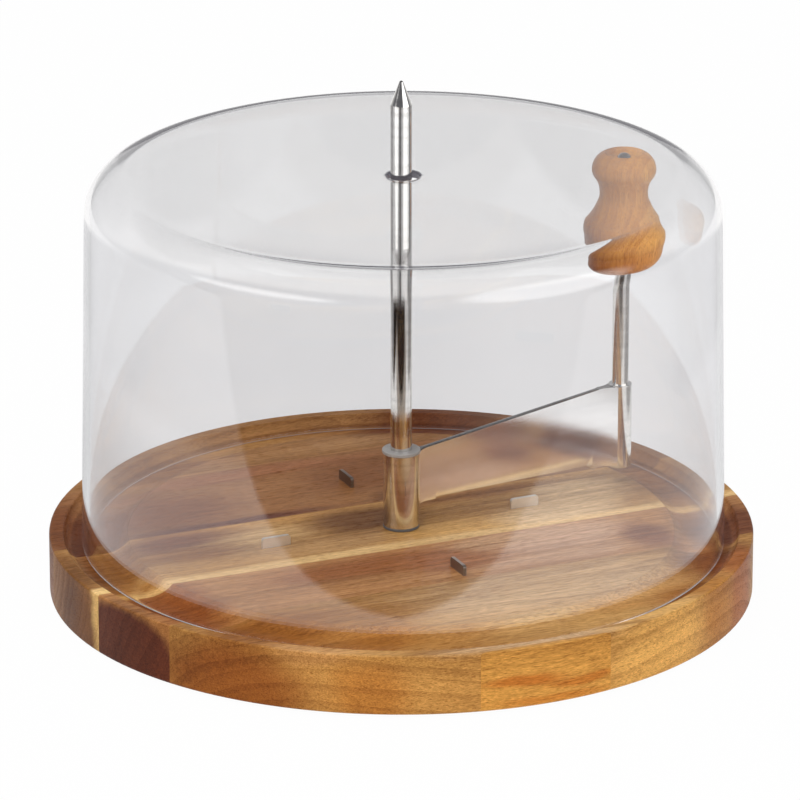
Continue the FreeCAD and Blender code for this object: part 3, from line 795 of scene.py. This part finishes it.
def soft_light(name, azimuth, elevation, half_width, half_height, level):
    """An oval light that faces the board; only reflections and clear plastic show it.

    Its place and half sizes are in degrees, as the board sees them."""
    turned = Matrix.Rotation(math.radians(azimuth), 4, "Z")
    raised = Matrix.Rotation(math.radians(-elevation), 4, "Y")
    out = Matrix.Translation((LIGHT_DISTANCE, 0.0, 0.0))
    upright = Matrix.Rotation(math.radians(90.0), 4, "Y") @ Matrix.Rotation(math.radians(90.0), 4, "Z")
    width, height = (LIGHT_DISTANCE * math.tan(math.radians(half)) for half in (half_width, half_height))
    matrix = turned @ raised @ out @ upright @ Matrix.Diagonal((width, height, 1.0, 1.0))
    mesh = bmesh.new()
    bmesh.ops.create_circle(mesh, cap_ends=True, segments=64, radius=1.0, matrix=matrix)
    made = finished(name, mesh, light_material(name, matrix, level))
    made.visible_camera = False
    made.visible_diffuse = False
    made.visible_shadow = False
    return made


mesh = bmesh.new()
bmesh.ops.create_circle(mesh, cap_ends=True, segments=96, radius=4.0)
finished("studio_floor", mesh, floor_material())
soft_light("left_soft_light", azimuth=-140.0, elevation=19.0, half_width=31.0, half_height=8.0, level=2.4)
soft_light("right_soft_light", azimuth=-36.0, elevation=24.5, half_width=36.0, half_height=24.0, level=2.2)


CEILING = (0.12, 0.12, 0.13, 1.0)
BACK_WALL = [(0.0, (0.60, 0.60, 0.60, 1.0)), (0.45, (0.42, 0.42, 0.43, 1.0)), (0.70, CEILING)]
OTHER_WALLS = [(0.0, (0.22, 0.22, 0.23, 1.0)), (0.5, CEILING)]
EVEN_LIGHT = 0.5


def room():
    """The world: white to the camera, even light on the object, walls and a dark ceiling in reflections."""
    world = bpy.data.worlds.new("studio room")
    scene.world = world
    world.use_nodes = True
    tree = world.node_tree
    tree.nodes.remove(tree.nodes["Background"])
    direction = add(tree, "ShaderNodeTexCoord").outputs["Generated"]
    parts = add(tree, "ShaderNodeSeparateXYZ", {0: direction}).outputs
    to_back = spread(tree, parts["Y"], 0.1, 0.6, smooth=True)
    tone = blend(tree, to_back, ramp(tree, parts["Z"], OTHER_WALLS), ramp(tree, parts["Z"], BACK_WALL))
    path = add(tree, "ShaderNodeLightPath").outputs
    seen = add(tree, "ShaderNodeBackground", {"Color": WHITE, "Strength": 1.0})
    mirrored = add(tree, "ShaderNodeBackground", {"Color": tone, "Strength": 1.0})
    lighting = add(tree, "ShaderNodeBackground", {"Color": WHITE, "Strength": EVEN_LIGHT})
    reflected = sums(tree, "MAXIMUM", path["Is Glossy Ray"], path["Is Transmission Ray"])
    unseen = add(tree, "ShaderNodeMixShader", {
        0: reflected, 1: lighting.outputs[0], 2: mirrored.outputs[0]})
    from_camera = path["Is Camera Ray"]
    final = add(tree, "ShaderNodeMixShader", {0: from_camera, 1: unseen.outputs[0], 2: seen.outputs[0]})
    tree.links.new(final.outputs[0], tree.nodes["World Output"].inputs["Surface"])


room()


BOARD_MIDDLE = Vector((0.0, 0.0, 0.05))


def lamp(name, place, size, power):
    """A square soft lamp that looks at the board and isn't seen in reflections."""
    data = bpy.data.lights.new(name, "AREA")
    data.shape = "SQUARE"
    data.size = size
    data.energy = power
    made = bpy.data.objects.new(name, data)
    made.location = place
    made.rotation_euler = (BOARD_MIDDLE - Vector(place)).to_track_quat("-Z", "Y").to_euler()
    made.visible_glossy = False
    made.visible_transmission = False
    scene.collection.objects.link(made)


lamp("top_lamp", (-0.5, -0.4, 1.7), size=1.4, power=16.0)
lamp("front_lamp", (0.6, -1.9, 0.7), size=1.2, power=12.0)


# The camera, fitted to the outlines of the board and dome in the photograph.

CAMERA_LENS = 304.79
CAMERA_PLACE = (-0.00040, -2.07110, 0.80546)
CAMERA_TILT = 70.326

camera_data = bpy.data.cameras.new("camera")
camera_data.sensor_width = 36.0
camera_data.lens = CAMERA_LENS
camera = bpy.data.objects.new("camera", camera_data)
camera.location = CAMERA_PLACE
camera.rotation_euler = (math.radians(CAMERA_TILT), 0.0, 0.0)
scene.collection.objects.link(camera)
scene.camera = camera
scene.view_settings.view_transform = "Standard"
